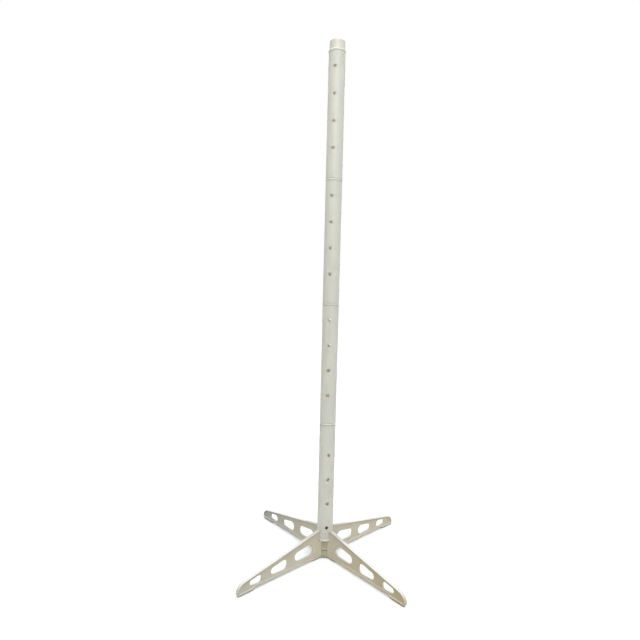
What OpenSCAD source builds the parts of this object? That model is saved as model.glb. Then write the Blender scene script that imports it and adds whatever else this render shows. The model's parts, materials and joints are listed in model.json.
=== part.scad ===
/* [Mast tubes] */
// Outer diameter of the mast tubes
tube_od = 50; // [46:0.5:60]
// Wall thickness of the mast tubes
tube_wall = 1.8; // [1.5:0.1:2.6]
// Length of each mast tube
tube_length = 366; // [350:1:420]
// Chamfer round the outer edge of each end of a tube
tube_chamfer = 0.8; // [0.3:0.1:1.2]
// Diameter of the peg holes that go across the tubes
peg_hole_d = 10; // [6:0.5:14]
// Spacing of the peg holes along one row
peg_hole_pitch = 78; // [60:1:82]
// Distance from a tube's top to the first peg hole of the row that starts there
peg_hole_top = 44; // [41:1:50]
// Distance from a tube's foot to the first peg hole of the row that starts there
peg_hole_foot = 38; // [36:1:50]
// Number of peg holes in one row
peg_hole_count = 4; // [2:1:4]
// How far each tube is turned round the mast, bottom tube first
tube_turns = [-76, -3, -10, -10]; // [-180:1:180]

/* [Couplings] */
// Height of the collar that shows between two tubes
collar_height = 7.2; // [6.5:0.1:12]
// How far the collar's bead stands out past the tubes
bead_proud = 0.8; // [0.4:0.1:2]
// Radius of the bead's rounded face
bead_radius = 2.7; // [1.5:0.1:3.2]
// Height of the bead's middle above the foot of its collar
bead_height = 4.1; // [3.3:0.1:4.4]
// Length of the spigot that stands in the tube above
spigot_length = 27; // [20:1:33]
// Length of the plug that is pressed into the tube below
plug_length = 18; // [16:1:33]
// Wall thickness of the spigots and plugs
spigot_wall = 2.4; // [2:0.1:4]
// Chamfer that leads a spigot or a plug into its tube
lead_in = 1.6; // [0.5:0.1:1.9]
// Thickness of the floor across the middle of a coupling
coupling_floor = 3; // [2:0.5:5]
// Thickness of the cross ribs inside a coupling's plug
plug_rib = 1.8; // [1.2:0.1:3]
// Height of the cross ribs inside a coupling's plug
plug_rib_height = 10; // [6:1:12]

/* [Fits] */
// Radial clearance where a tube turns on a spigot
turning_clearance = 0.05; // [0.02:0.01:0.1]
// Gap above each collar that lets the tube above it turn
seat_gap = 0.3; // [0.2:0.05:1]
// Clearance all round where a leg fits the hub
slot_clearance = 0.1; // [0.05:0.05:0.3]
// Gap between the collar and the inner edges of the legs beside it
mast_gap = 2.7; // [1:0.1:5]

/* [Hub] */
// Height of the underside of the hub's collar above the floor
hub_height = 58; // [54:1:70]
// Diameter of the hub's core, where the legs butt against it
core_d = 35; // [35:1:42]
// Height of the joint between the hub body and the hub cap
cap_top = 28; // [26:0.5:36]
// Gap between the floor and the hub cap
cap_lift = 4; // [2:0.5:6]
// Height of the groove round the top of the hub cap
cap_groove_height = 3; // [1:0.5:5]
// Depth of the groove round the top of the hub cap
cap_groove_depth = 1.6; // [0.5:0.1:2]
// Thickness of the hub cap under the leg sockets
cap_floor = 10; // [9:0.5:12]
// Height of the lugs that stand out between the legs
lug_height = 4.5; // [2:0.5:8]
// How far the lugs stand out from the hub's core
lug_proud = 3; // [1:0.5:5]
// Thickness of the hub body above the leg sockets
hub_floor = 6; // [6:0.5:8]

/* [Hub screw] */
// Diameter of the hub screw
screw_d = 6; // [5:0.5:6]
// How far the hub screw's end stands above its nut
screw_end = 3; // [1:0.5:6]
// Diameter of the hub screw's head
screw_head_d = 11; // [9:0.5:12]
// Height of the hub screw's head
screw_head_height = 4; // [3:0.5:4.5]
// How far the hub screw's head lies inside the hub cap
screw_recess = 0.8; // [0.4:0.1:1.2]
// Width of the cross recess in the screw's head
drive_width = 6; // [4:0.5:7]
// Width of each slot of the cross recess
drive_slot = 1.2; // [0.8:0.1:1.6]
// Clearance round the shank of the hub screw
screw_clearance = 0.25; // [0.1:0.05:0.5]
// Diameter of the washer under the screw's head
washer_d = 13; // [12:0.5:14]
// Thickness of the washer under the screw's head
washer_thickness = 1.6; // [1:0.1:2]
// Width of the nut across its flats
nut_width = 10; // [9:0.5:10]
// Height of the nut
nut_height = 5; // [4:0.5:5]
// Clearance round the nut and the washer in their recesses
recess_clearance = 0.2; // [0.1:0.05:0.5]

/* [Legs] */
// Distance from the mast's axis to the tip of a leg
leg_reach = 329; // [310:1:400]
// Height of a leg's top edge beside the mast
leg_root_height = 93; // [88:1:110]
// Radius of the rounded nose at the end of a leg
nose_radius = 28.5; // [24:0.5:34]
// Radius where the nose runs into the sole
tip_radius = 6; // [4:0.5:8]
// Thickness of a leg's web
web_thickness = 4; // [3:0.1:5]
// Width of the rim along a leg's top edge, nose and sole
rim_width = 11; // [6.5:0.1:12]
// Thickness of the rim along a leg's top edge and nose
rim_thickness = 2.6; // [1.6:0.1:4]
// Width of the rail along a leg's lower edge
rail_width = 7; // [5.2:0.1:8]
// Height of the rail along a leg's lower edge
rail_height = 6.5; // [5:0.5:7]
// Gap between the floor and the rail
rail_lift = 5; // [3:0.5:8]
// Thickness of a leg's root, where it butts against the hub
root_thickness = 9; // [8:0.5:13]
// Distance from the mast's axis to the end of the full-thickness root
root_end = 21; // [20:0.5:28]
// Length over which the root thins down to the web
root_taper = 6; // [4:1:12]
// Distance from the mast's axis to the end of the heel
heel_end = 47; // [40:1:54]
// Length of the slope between heel or sole and the rail
step_length = 9; // [4:1:14]
// Length of the sole under a leg's nose, measured back from the tip
sole_length = 50; // [46:1:60]
// Thickness of the rim along the sole
sole_thickness = 5; // [4:0.5:6]

/* [Tongues] */
// Radius of the round bead along the inner edge of a leg's tongue
tongue_bead_r = 4; // [3:0.1:4.2]
// Thickness of the tongue's neck
tongue_neck = 4; // [3:0.1:5]
// Depth from the face of the hub's core to the tongue's bead
tongue_depth = 2.5; // [2:0.1:2.8]

/* [Windows] */
// Distance from the mast's axis to the first window of a leg
window_start = 50.5; // [46:0.5:60]
// Length of the middle window
window_middle = 60; // [40:1:64]
// Length of the outer window
window_outer = 41; // [24:1:44]
// Width of the web left between the first and the middle window
window_rib_inner = 29; // [20:1:40]
// Width of the web left between the middle and the outer window
window_rib_outer = 33; // [20:1:40]
// Distance from the outer window to the tip of a leg
window_end = 41.5; // [38:0.5:50]
// Heights of the three windows' lower edges at their mast ends
sills_inner = [22.5, 16.5, 13.5]; // [13.5:0.5:30]
// Heights of the three windows' lower edges at their tip ends
sills_outer = [26, 19.5, 16.5]; // [13.5:0.5:30]
// Depths of web and rim above the three windows at their mast ends
lintels_inner = [26, 17, 10.5]; // [9:0.5:30]
// Depths of web and rim above the three windows at their tip ends
lintels_outer = [22.5, 17.5, 9.5]; // [9:0.5:30]
// Width of the lip round each window
lip_width = 1.8; // [1:0.1:3]
// Thickness of the lip round each window
lip_thickness = 5; // [4.4:0.1:7]

/* [Foot pads] */
// Length of a foot pad
pad_length = 41; // [30:1:42]
// Width of a foot pad
pad_width = 6.4; // [5:0.1:6.6]
// Thickness of a foot pad
pad_thickness = 3.5; // [3:0.1:4.5]
// How far a foot pad stands out below the sole
pad_proud = 2; // [1:0.1:2.5]

/* [Hidden] */
$fn = 96;
// Angle between the points of an arc in an outline
arc_step = 9;
// Overlap that makes the cuts run clear of a surface
over = 1;
tube_r = tube_od / 2;
bore_r = tube_r - tube_wall;
spigot_r = bore_r - turning_clearance;
bead_outer_r = tube_r + bead_proud;
collar_r = tube_r - tube_chamfer;
// From one tube's foot to the next tube's foot
section_rise = tube_length + collar_height + seat_gap;
// Foot of the bottom tube
mast_foot = hub_height + collar_height + seat_gap;

core_r = core_d / 2;
socket_foot = cap_lift + cap_floor;
socket_top = hub_height + coupling_floor - hub_floor;
tongue_bead_x = core_r - tongue_depth - tongue_bead_r;
screw_head_foot = cap_lift + screw_recess;
screw_seat = screw_head_foot + screw_head_height + washer_thickness;
nut_foot = hub_height + coupling_floor - nut_height - recess_clearance;
screw_top = nut_foot + nut_height + screw_end;

// The nose is a round about this point, and the top edge is its tangent from the root
nose_x = leg_reach - nose_radius;
nose_z = pad_proud + tip_radius;
top_x = bead_outer_r;
nose_run = [nose_x - top_x, nose_z - leg_root_height];
top_slope = atan2(nose_run.y, nose_run.x) + asin(nose_radius / norm(nose_run));
rail_top = rail_lift + rail_height;
sole_top = pad_proud + sole_thickness;
sole_start = leg_reach - sole_length;
root_foot = root_end + root_taper;

leg_turns = [225, 315, 45, 135];
window_first = leg_reach - window_end - window_outer - window_rib_outer
             - window_middle - window_rib_inner - window_start;
window_lengths = [window_first, window_middle, window_outer];
window_ribs = [window_rib_inner, window_rib_outer, 0];

// Height of the foot of tube k, counted from 0 at the bottom
function tube_foot(k) = mast_foot + k * section_rise;

// Height of a leg's top edge at distance x from the axis, moved in by inset
function top_edge(x, inset = 0) =
    leg_root_height + (x - top_x) * tan(top_slope) - inset / cos(top_slope);

// The round of the nose, moved in by inset, from height low up to the top edge
function nose(inset, low) =
    let (r = nose_radius - inset)
    arc([nose_x, nose_z], r, asin((low - nose_z) / r), 90 + top_slope);

// Start of window i
function window_x(i) =
    i == 0 ? window_start : window_x(i - 1) + window_lengths[i - 1] + window_ribs[i - 1];

// A value that runs evenly along window i, from its mast end to its tip end
function along_window(i, x, inner, outer) =
    inner[i] + (outer[i] - inner[i]) * (x - window_x(i)) / window_lengths[i];
function window_sill(i, x) = along_window(i, x, sills_inner, sills_outer);
function window_lintel(i, x) = top_edge(x) - along_window(i, x, lintels_inner, lintels_outer);
function window_half(i, x) = (window_lintel(i, x) - window_sill(i, x)) / 2;

// Radius of window i's round end whose furthest point is at x, where side is 1 if the window
// runs on from there towards the tip, -1 if it runs on towards the mast
function window_end_r(i, x, side) =
    let (half = window_half(i, x), next = window_half(i, x + side))
    half / (1 - (next - half));

// Centre of the round end that fits between sill and lintel at distance x from the axis
function window_centre(i, x) = [x, window_sill(i, x) + window_half(i, x)];

// Points along an arc about c, from one angle to another
function arc(c, r, from, to) =
    let (n = ceil(abs(to - from) / arc_step), step = (to - from) / n)
    [for (i = [0 : n]) c + r * [cos(from + i * step), sin(from + i * step)]];

// Slot with round ends of radii r0 and r1 about c0 and c1, moved out by grow
module tapered_slot(c0, r0, c1, r1, grow) {
    run = c1 - c0;
    line = atan2(run.y, run.x);
    lean = acos((r0 - r1) / norm(run));
    polygon([
        each arc(c1, r1 + grow, line - lean, line + lean),
        each arc(c0, r0 + grow, line + lean, line + 360 - lean)
    ]);
}

// Ring of height h whose outer edge is chamfered at the top by lead_in
module spigot(r, h) {
    rotate_extrude() {
        polygon([
            [r - spigot_wall, 0], [r, 0], [r, h - lead_in],
            [r - lead_in, h], [r - spigot_wall, h]
        ]);
    }
}

// Collar with a round bead, which carries the tube above it
module collar() {
    rotate_extrude() {
        square([collar_r, collar_height]);
        translate([bead_outer_r - bead_radius, bead_height]) circle(r = bead_radius);
    }
}

module mast_tube(k) {
    color("ivory")
    translate([0, 0, tube_foot(k)])
    rotate(tube_turns[k])
    difference() {
        rotate_extrude() {
            polygon([
                [bore_r, 0], [collar_r, 0], [tube_r, tube_chamfer],
                [tube_r, tube_length - tube_chamfer], [collar_r, tube_length],
                [bore_r, tube_length]
            ]);
        }
        for (i = [0 : peg_hole_count - 1]) {
            translate([0, 0, tube_length - peg_hole_top - i * peg_hole_pitch]) peg_hole(90);
            translate([0, 0, peg_hole_foot + i * peg_hole_pitch]) peg_hole(0);
        }
    }
}

// Hole right across a tube, its axis turned from X by turn
module peg_hole(turn) {
    rotate(turn) rotate([0, 90, 0]) cylinder(d = peg_hole_d, h = tube_od + 2 * over, center = true);
}

// Coupling on top of tube k: plug below, collar, spigot above
module coupling(k) {
    color("beige")
    translate([0, 0, tube_foot(k) + tube_length]) {
        collar_body();
        translate([0, 0, collar_height]) spigot(spigot_r, spigot_length);
        mirror([0, 0, 1]) {
            spigot(bore_r, plug_length);
            intersection() {
                cylinder(r = bore_r - spigot_wall / 2, h = plug_rib_height);
                for (turn = [0, 90]) {
                    rotate(turn) translate([-bore_r, -plug_rib / 2, 0])
                        cube([2 * bore_r, plug_rib, plug_rib_height]);
                }
            }
        }
    }
}

// Collar that is hollow above its floor
module collar_body() {
    difference() {
        collar();
        translate([0, 0, coupling_floor])
            cylinder(r = spigot_r - spigot_wall, h = collar_height - coupling_floor + over);
    }
}

// Slots that hold the four legs' tongues between two heights
module tongue_slots(foot, top, clearance) {
    for (turn = leg_turns) {
        rotate(turn) translate([0, 0, foot]) linear_extrude(top - foot)
            tongue_plan(clearance);
    }
}

module tongue_plan(clearance) {
    translate([tongue_bead_x, 0]) circle(r = tongue_bead_r + clearance);
    translate([tongue_bead_x, -tongue_neck / 2 - clearance])
        square([core_r + over - tongue_bead_x, tongue_neck + 2 * clearance]);
}

// Room for the legs' roots where they pass between the lugs
module root_slots(foot, top) {
    for (turn = leg_turns) {
        rotate(turn) translate([0, -root_thickness / 2 - slot_clearance, foot])
            cube([core_r + lug_proud + over, root_thickness + 2 * slot_clearance, top - foot]);
    }
}

module hex_prism(width, h) {
    cylinder(d = width / cos(30), h = h, $fn = 6);
}

module hub_body() {
    color("beige")
    difference() {
        union() {
            translate([0, 0, cap_top]) cylinder(r = core_r, h = hub_height - cap_top);
            translate([0, 0, cap_top]) lugs();
            translate([0, 0, hub_height]) collar_body();
            translate([0, 0, hub_height + collar_height]) spigot(spigot_r, spigot_length);
        }
        tongue_slots(cap_top - over, socket_top, slot_clearance);
        translate([0, 0, cap_top - over])
            cylinder(d = screw_d + 2 * screw_clearance, h = hub_height);
        translate([0, 0, nut_foot]) hex_prism(nut_width + 2 * recess_clearance, nut_height + over);
    }
}

// Lugs between the legs, which stop them from swinging round the hub
module lugs() {
    difference() {
        cylinder(r = core_r + lug_proud, h = lug_height);
        root_slots(-over, lug_height + over);
    }
}

module hub_cap() {
    color("beige")
    difference() {
        union() {
            translate([0, 0, cap_lift])
                cylinder(r = core_r, h = cap_top - cap_groove_height - cap_lift);
            translate([0, 0, cap_lift])
                cylinder(r = core_r - cap_groove_depth, h = cap_top - cap_lift);
        }
        tongue_slots(socket_foot, cap_top + over, slot_clearance);
        translate([0, 0, cap_lift - over])
            cylinder(d = screw_d + 2 * screw_clearance, h = cap_top);
        translate([0, 0, cap_lift - over])
            cylinder(d = washer_d + 2 * recess_clearance, h = screw_seat - cap_lift + over);
    }
}

module hub_screw() {
    color("silver")
    difference() {
        union() {
            translate([0, 0, screw_head_foot])
                cylinder(d = screw_head_d, h = screw_head_height);
            translate([0, 0, screw_head_foot])
                cylinder(d = screw_d, h = screw_top - screw_head_foot);
        }
        translate([0, 0, screw_head_foot]) cross_recess();
    }
}

// Recess for a cross-headed driver
module cross_recess() {
    for (turn = [0, 90]) {
        rotate(turn) cube([drive_width, drive_slot, screw_head_height], center = true);
    }
}

module hub_washer() {
    color("silver")
    translate([0, 0, screw_seat - washer_thickness])
    difference() {
        cylinder(d = washer_d, h = washer_thickness);
        translate([0, 0, -over])
            cylinder(d = screw_d + 2 * screw_clearance, h = washer_thickness + 2 * over);
    }
}

module hub_nut() {
    color("silver")
    translate([0, 0, nut_foot])
    difference() {
        hex_prism(nut_width, nut_height);
        translate([0, 0, -over]) cylinder(d = screw_d, h = nut_height + 2 * over);
    }
}

// Side view of a whole leg outside the hub
module leg_outline() {
    polygon([
        [core_r, 0], [heel_end, 0], [heel_end + step_length, rail_lift],
        [sole_start - step_length, rail_lift], [sole_start, pad_proud],
        each arc([leg_reach - tip_radius, nose_z], tip_radius, -90, -arc_step),
        each nose(0, nose_z), [core_r, top_edge(core_r)]
    ]);
}

// Side view of the web that the rim and the rail frame
module leg_pocket() {
    polygon([
        [0, rail_top], [sole_start - step_length, rail_top], [sole_start, sole_top],
        each nose(rim_thickness, sole_top), [0, top_edge(0, rim_thickness)]
    ]);
}

// Side view of the strip along the lower edge that belongs to the rail
module rail_strip() {
    square([sole_start - step_length, rail_top]);
}

module windows(grow) {
    for (i = [0 : len(window_lengths) - 1]) {
        x0 = window_x(i);
        x1 = x0 + window_lengths[i];
        r0 = window_end_r(i, x0, 1);
        r1 = window_end_r(i, x1, -1);
        tapered_slot(window_centre(i, x0 + r0), r0, window_centre(i, x1 - r1), r1, grow);
    }
}

// Stands a side view up in the XZ plane with the given thickness, centred on it
module upright(thickness) {
    translate([0, thickness / 2, 0]) rotate([90, 0, 0]) linear_extrude(thickness) children();
}

// Plan of a leg's root, which thins down to the web
module root_plan() {
    polygon([
        [core_r, -root_thickness / 2], [root_end, -root_thickness / 2],
        [root_foot, -web_thickness / 2], [root_foot, web_thickness / 2],
        [root_end, root_thickness / 2], [core_r, root_thickness / 2]
    ]);
}

module leg(turn) {
    color("ivory")
    rotate(turn) {
        difference() {
            union() {
                upright(web_thickness) leg_outline();
                upright(rim_width) difference() {
                    leg_outline();
                    leg_pocket();
                    rail_strip();
                }
                upright(rail_width) difference() {
                    leg_outline();
                    leg_pocket();
                }
                upright(lip_thickness) windows(lip_width);
                intersection() {
                    upright(root_thickness) leg_outline();
                    linear_extrude(leg_root_height) root_plan();
                }
            }
            upright(rim_width) windows(0);
            translate([0, 0, hub_height])
                cylinder(r = bead_outer_r + mast_gap, h = leg_root_height);
            translate([0, 0, -over])
                cylinder(r = core_r + slot_clearance, h = leg_root_height);
            pad_blank(slot_clearance);
        }
        translate([0, 0, socket_foot + slot_clearance])
            linear_extrude(socket_top - socket_foot - 2 * slot_clearance) tongue_plan(0);
    }
}

// A foot pad with round ends, midway along the flat of its sole
module pad_blank(grow) {
    translate([(sole_start + leg_reach - tip_radius) / 2, 0, 0]) linear_extrude(pad_thickness) {
        square([pad_length - pad_width, pad_width + 2 * grow], center = true);
        for (side = [-1, 1]) {
            translate([side * (pad_length - pad_width) / 2, 0]) circle(d = pad_width + 2 * grow);
        }
    }
}

module foot_pad(turn) {
    color("dimgray")
    rotate(turn) pad_blank(0);
}

mast_tube(0);  // mast_tube_1
mast_tube(1);  // mast_tube_2
mast_tube(2);  // mast_tube_3
mast_tube(3);  // mast_tube_4
coupling(0);  // coupling_1
coupling(1);  // coupling_2
coupling(2);  // coupling_3
coupling(3);  // coupling_4
hub_body();
hub_cap();
hub_screw();
hub_washer();
hub_nut();
leg(leg_turns[0]);  // leg_front_left
leg(leg_turns[1]);  // leg_front_right
leg(leg_turns[2]);  // leg_rear_right
leg(leg_turns[3]);  // leg_rear_left
foot_pad(leg_turns[0]);  // foot_pad_front_left
foot_pad(leg_turns[1]);  // foot_pad_front_right
foot_pad(leg_turns[2]);  // foot_pad_rear_right
foot_pad(leg_turns[3]);  // foot_pad_rear_left
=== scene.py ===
import json
import math

import bmesh
import bpy
from bpy.props import FloatProperty, FloatVectorProperty, IntProperty, PointerProperty
from mathutils import Matrix, Vector
from mathutils.geometry import delaunay_2d_cdt


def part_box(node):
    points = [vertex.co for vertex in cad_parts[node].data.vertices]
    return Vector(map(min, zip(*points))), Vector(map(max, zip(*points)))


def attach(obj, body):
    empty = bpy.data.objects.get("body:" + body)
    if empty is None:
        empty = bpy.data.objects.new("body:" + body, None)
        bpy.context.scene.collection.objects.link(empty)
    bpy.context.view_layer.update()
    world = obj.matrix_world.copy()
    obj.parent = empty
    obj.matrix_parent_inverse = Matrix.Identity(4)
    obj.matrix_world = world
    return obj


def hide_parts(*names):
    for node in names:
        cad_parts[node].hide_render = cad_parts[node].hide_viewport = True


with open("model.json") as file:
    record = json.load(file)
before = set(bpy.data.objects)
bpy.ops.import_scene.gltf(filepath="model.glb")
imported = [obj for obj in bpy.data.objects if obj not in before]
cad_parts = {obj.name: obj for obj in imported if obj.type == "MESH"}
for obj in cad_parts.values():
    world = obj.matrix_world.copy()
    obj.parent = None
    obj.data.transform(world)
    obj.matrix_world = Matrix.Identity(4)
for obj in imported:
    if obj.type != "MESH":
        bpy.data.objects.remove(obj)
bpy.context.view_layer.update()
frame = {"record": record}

bl_info = {
    "name": "Clothes mast and stand",
    "version": (1, 0, 0),
    "blender": (4, 5, 0),
    "location": "3D View > Sidebar > Clothes mast",
    "description": "Dresses a four-section plastic mast on a cross of moulded legs",
    "category": "Object",
}

MM = 0.001
SECTIONS = (1, 2, 3, 4)
LEGS = {"front_left": 225, "front_right": 315, "rear_right": 45, "rear_left": 135}
BODY_OF = {
    node: body
    for body, nodes in frame["record"]["behaviour"]["bodies"].items()
    for node in nodes
}
COUPLING_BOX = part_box("coupling_1")
HUB_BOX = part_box("hub_body")
CAP_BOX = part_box("hub_cap")
SCREW_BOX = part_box("hub_screw")
WASHER_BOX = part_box("hub_washer")
NUT_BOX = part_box("hub_nut")
MOUNTS = {mount["name"]: mount for mount in frame["record"]["mounts"]}
SPIGOT = MOUNTS["top_spigot"]["dims"]["r_mm"] * MM  # radius of every spigot
HAIR = 0.05 * MM            # gap round a coupling's plug
RIB_SUNK = 0.2 * MM         # how far a plug's ribs run into the floor above them
CORE_SUNK = 1 * MM          # how far the hub's core runs into the collar, and a tongue into its leg
HEAD_ROUND = 0.8 * MM       # rounding of the screw's head
STAMPED_ROUND = 0.2 * MM    # rounding of the washer's edges, and of the head's edge on it
NUT_ROUND = 0.4 * MM        # rounding of the nut's edges
POINT_CHAMFER = 0.7 * MM    # chamfer of the screw's point
GRAIN_DEPTH = 0.05 * MM     # depth of the plastic's grain and of the rubber's pores
DARK_SOLE_EDGE_TO = 2.7 * MM       # height up to which the soles' lower edges are darker
FLOOR_DROP = 0.3 * MM       # how far the floor lies below the pads, so that no two faces coincide
CREASE = math.radians(32)   # steepest bend that is shaded as a smooth one
FLAT_FACE_WEIGHT = 80       # how much more the large flat faces count in the even shading


def linear(code):
    """Scene-linear colour of an sRGB hex code."""
    shares = [int(code[i:i + 2], 16) / 255 for i in (1, 3, 5)]
    return tuple(s / 12.92 if s <= 0.04045 else ((s + 0.055) / 1.055) ** 2.4 for s in shares)


def length(name, description, millimetres):
    return FloatProperty(name=name, description=description, default=millimetres * MM,
                         min=0, unit="LENGTH", subtype="DISTANCE", precision=5)


def lengths(name, description, *millimetres):
    return FloatVectorProperty(name=name, description=description, size=len(millimetres),
                               default=[mm * MM for mm in millimetres], min=0, unit="LENGTH",
                               precision=5)


def colour(name, description, code):
    return FloatVectorProperty(name=name, description=description, default=linear(code),
                               min=0, max=1, size=3, subtype="COLOR")


def number(name, description, value, low=0.0):
    return FloatProperty(name=name, description=description, default=value, min=low)


def angle(name, description, degrees):
    return FloatProperty(name=name, description=description, default=math.radians(degrees),
                         subtype="ANGLE")


def triple(name, description, *values):
    return FloatVectorProperty(name=name, description=description, default=values, size=3)


class TubeSizes(bpy.types.PropertyGroup):
    wall: length("Wall", "Wall thickness of the tubes", 1.8)
    end_chamfer: length("End chamfer", "Chamfer round the outer edge of each tube end", 0.8)
    end_round: length("End rounding", "Rounding of the edges at a tube's ends", 0.25)
    hole_round: length("Hole rounding", "Rounding of the edges of the peg holes", 0.45)
    columns: IntProperty(name="Columns", description="Faces round a tube, a multiple of 8",
                         default=96, min=48, max=192)


class CouplingSizes(bpy.types.PropertyGroup):
    collar: length("Collar", "Height of the collar between two tubes", 7.2)
    bead_radius: length("Bead radius", "Radius of the collar's rounded bead", 2.7)
    bead_height: length("Bead height", "Height of the bead's middle above the collar's foot", 4.1)
    wall: length("Wall", "Wall thickness of spigots and plugs", 2.4)
    lead_in: length("Lead-in", "Chamfer at the free end of spigots and plugs", 1.6)
    floor: length("Floor", "Thickness of the floor across a coupling", 3)
    plug: length("Plug", "Length of the plug in the tube below", 18)
    rib: length("Rib", "Thickness of the cross ribs in a plug", 1.8)
    rib_height: length("Rib height", "Height of the cross ribs in a plug", 10)
    soft: length("Edge rounding", "Rounding of the moulded edges", 0.3)


class HubSizes(bpy.types.PropertyGroup):
    core: length("Core", "Diameter of the hub's core", 35)
    lug_height: length("Lug height", "Height of the lugs between the legs", 4.5)
    lug_proud: length("Lug", "How far the lugs stand out from the core", 3)
    groove_height: length("Groove height", "Height of the groove round the cap", 3)
    groove_depth: length("Groove depth", "Depth of the groove round the cap", 1.6)
    cap_floor: length("Cap floor", "Thickness of the cap under the leg sockets", 10)
    body_ceiling: length("Body ceiling", "Thickness of the hub body above the sockets", 6)
    fit: length("Leg fit", "Clearance round the legs in the hub", 0.1)
    recess_fit: length("Recess fit", "Clearance round the nut and the washer", 0.2)
    screw_fit: length("Screw fit", "Clearance round the screw's shank", 0.25)
    shank: length("Screw", "Diameter of the hub screw", 6)
    head_height: length("Head height", "Height of the screw's head", 4)
    drive: length("Drive", "Width of the cross recess in the head", 6)
    drive_slot: length("Drive slot", "Width of each slot of the cross recess", 1.2)
    pitch: length("Thread pitch", "Pitch of the screw's thread", 1)
    soft: length("Edge rounding", "Rounding of the moulded edges", 0.5)


class LegSizes(bpy.types.PropertyGroup):
    reach: length("Reach", "Distance from the mast's axis to a leg's tip", 329)
    root_height: length("Root height", "Height of the top edge beside the mast", 93)
    nose: length("Nose radius", "Radius of the rounded nose", 28.5)
    tip: length("Tip radius", "Radius where the nose runs into the sole", 6)
    web: length("Web", "Thickness of the web", 4)
    rim_width: length("Rim width", "Width of the rim along the top edge and nose", 11)
    rim: length("Rim", "Thickness of the rim along the top edge and nose", 2.6)
    rail_width: length("Rail width", "Width of the rail along the lower edge", 7)
    rail_height: length("Rail height", "Height of the rail along the lower edge", 6.5)
    rail_lift: length("Rail lift", "Gap between the floor and the rail", 5)
    root: length("Root", "Thickness of the root at the hub", 9)
    root_end: length("Root end", "Where the full-thickness root ends", 21)
    root_taper: length("Root taper", "Length over which the root thins down", 6)
    mast_gap: length("Mast gap", "Gap between the collar and the leg's inner edge beside it", 2.7)
    gusset: length("Gusset", "Length over which rim and rail run out at the leg's inner end", 3)
    heel_end: length("Heel end", "Where the heel ends", 47)
    step: length("Step", "Length of the slope between heel or sole and the rail", 9)
    sole: length("Sole", "Length of the sole under the nose", 50)
    sole_thickness: length("Sole thickness", "Thickness of the rim along the sole", 5)
    window_start: length("First window", "Distance from the axis to the first window", 50.5)
    window_middle: length("Middle window", "Length of the middle window", 60)
    window_outer: length("Outer window", "Length of the outer window", 41)
    rib_inner: length("Inner rib", "Web between the first and the middle window", 29)
    rib_outer: length("Outer rib", "Web between the middle and the outer window", 33)
    window_end: length("Window end", "Distance from the outer window to the tip", 41.5)
    sills_inner: lengths("Inner sills", "Heights of the windows' lower edges at the mast's end",
                         22.5, 16.5, 13.5)
    sills_outer: lengths("Outer sills", "Heights of the windows' lower edges at the tip's end",
                         26, 19.5, 16.5)
    lintels_inner: lengths("Inner lintels", "Depths above the windows at the mast's end", 26, 17, 10.5)
    lintels_outer: lengths("Outer lintels", "Depths above the windows at the tip's end", 22.5, 17.5, 9.5)
    lip: length("Lip", "Width of the lip round each window", 1.4)
    lip_thickness: length("Lip thickness", "Thickness of the lip round each window", 5)
    bead: length("Tongue bead", "Radius of the bead along a tongue", 4)
    neck: length("Tongue neck", "Thickness of a tongue's neck", 4)
    bead_depth: length("Tongue depth", "Depth from the core's face to the bead", 2.5)
    soft: length("Edge rounding", "Rounding of the moulded edges", 0.6)
    fillet: length("Fillet", "Fillet between the web and what stands on it", 0.7)


class PadSizes(bpy.types.PropertyGroup):
    long: length("Length", "Length of a foot pad", 41)
    wide: length("Width", "Width of a foot pad", 6.4)
    thick: length("Thickness", "Thickness of a foot pad", 3.5)
    proud: length("Proud", "How far a pad stands out below the sole", 2)
    soft: length("Edge rounding", "Rounding of the pad's edges", 0.5)


class Finishes(bpy.types.PropertyGroup):
    tube: colour("Tube", "Ivory of the extruded tubes", "#D6D4C4")
    tube_worn: colour("Tube, handled", "Ivory of the tubes where hands have dulled it", "#CFCCBC")
    coupling: colour("Coupling", "Ivory of the moulded couplings", "#D3D1C5")
    coupling_worn: colour("Coupling, handled", "Ivory of the couplings where it is dulled", "#CCCABD")
    # Painted shade: the hub's colour below its collar, where the collar and the legs shade it
    hub_painted_shade: colour("Hub, dusty", "What dust has turned the hub to between the legs", "#B3AD96")
    # Painted shade: a dark band below each collar, where its bead shades the tube, and a fainter one
    # above it
    painted_collar_shade: colour("Painted_shade", "Grime in the gaps beside the collars", "#8F8B7C")
    leg: colour("Leg", "Ivory of the moulded legs", "#C9C2AE")
    leg_worn: colour("Leg, handled", "Ivory of the legs where they are dulled", "#C2BAA5")
    leg_yellowed: colour("Leg, yellowed", "What the sun has turned the front right leg to", "#B8AB85")
    leg_greyed: colour("Leg, greyed", "What dust has turned the rear left leg to", "#A1A29C")
    # Painted light: a cooler colour on the legs' faces that look up, standing in for the overhead light
    leg_painted_top_light: colour("Leg, wiped", "Ivory of the legs' upper faces, which cleaning reaches", "#C4C1B7")
    # The legs' top colour, darker beside the mast
    leg_top_by_mast: colour("Leg, dusty", "What dust has turned the upper faces to beside the mast", "#AAA79F")
    # Darker band along the soles' lower edges, a few millimetres up from the floor
    leg_dark_sole_edge: colour("Leg, scuffed", "What the floor has turned the soles' lower edges to", "#75705F")
    zinc: colour("Zinc", "Grey of the zinc-plated fasteners", "#B9BABC")
    zinc_dull: colour("Zinc, dulled", "Grey of the zinc where it has dulled", "#9FA1A4")
    rubber: colour("Rubber", "Dark grey of the foot pads", "#30302D")
    rubber_dusty: colour("Rubber, dusty", "Grey of the pads where floor dust clings", "#504E49")


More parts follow.
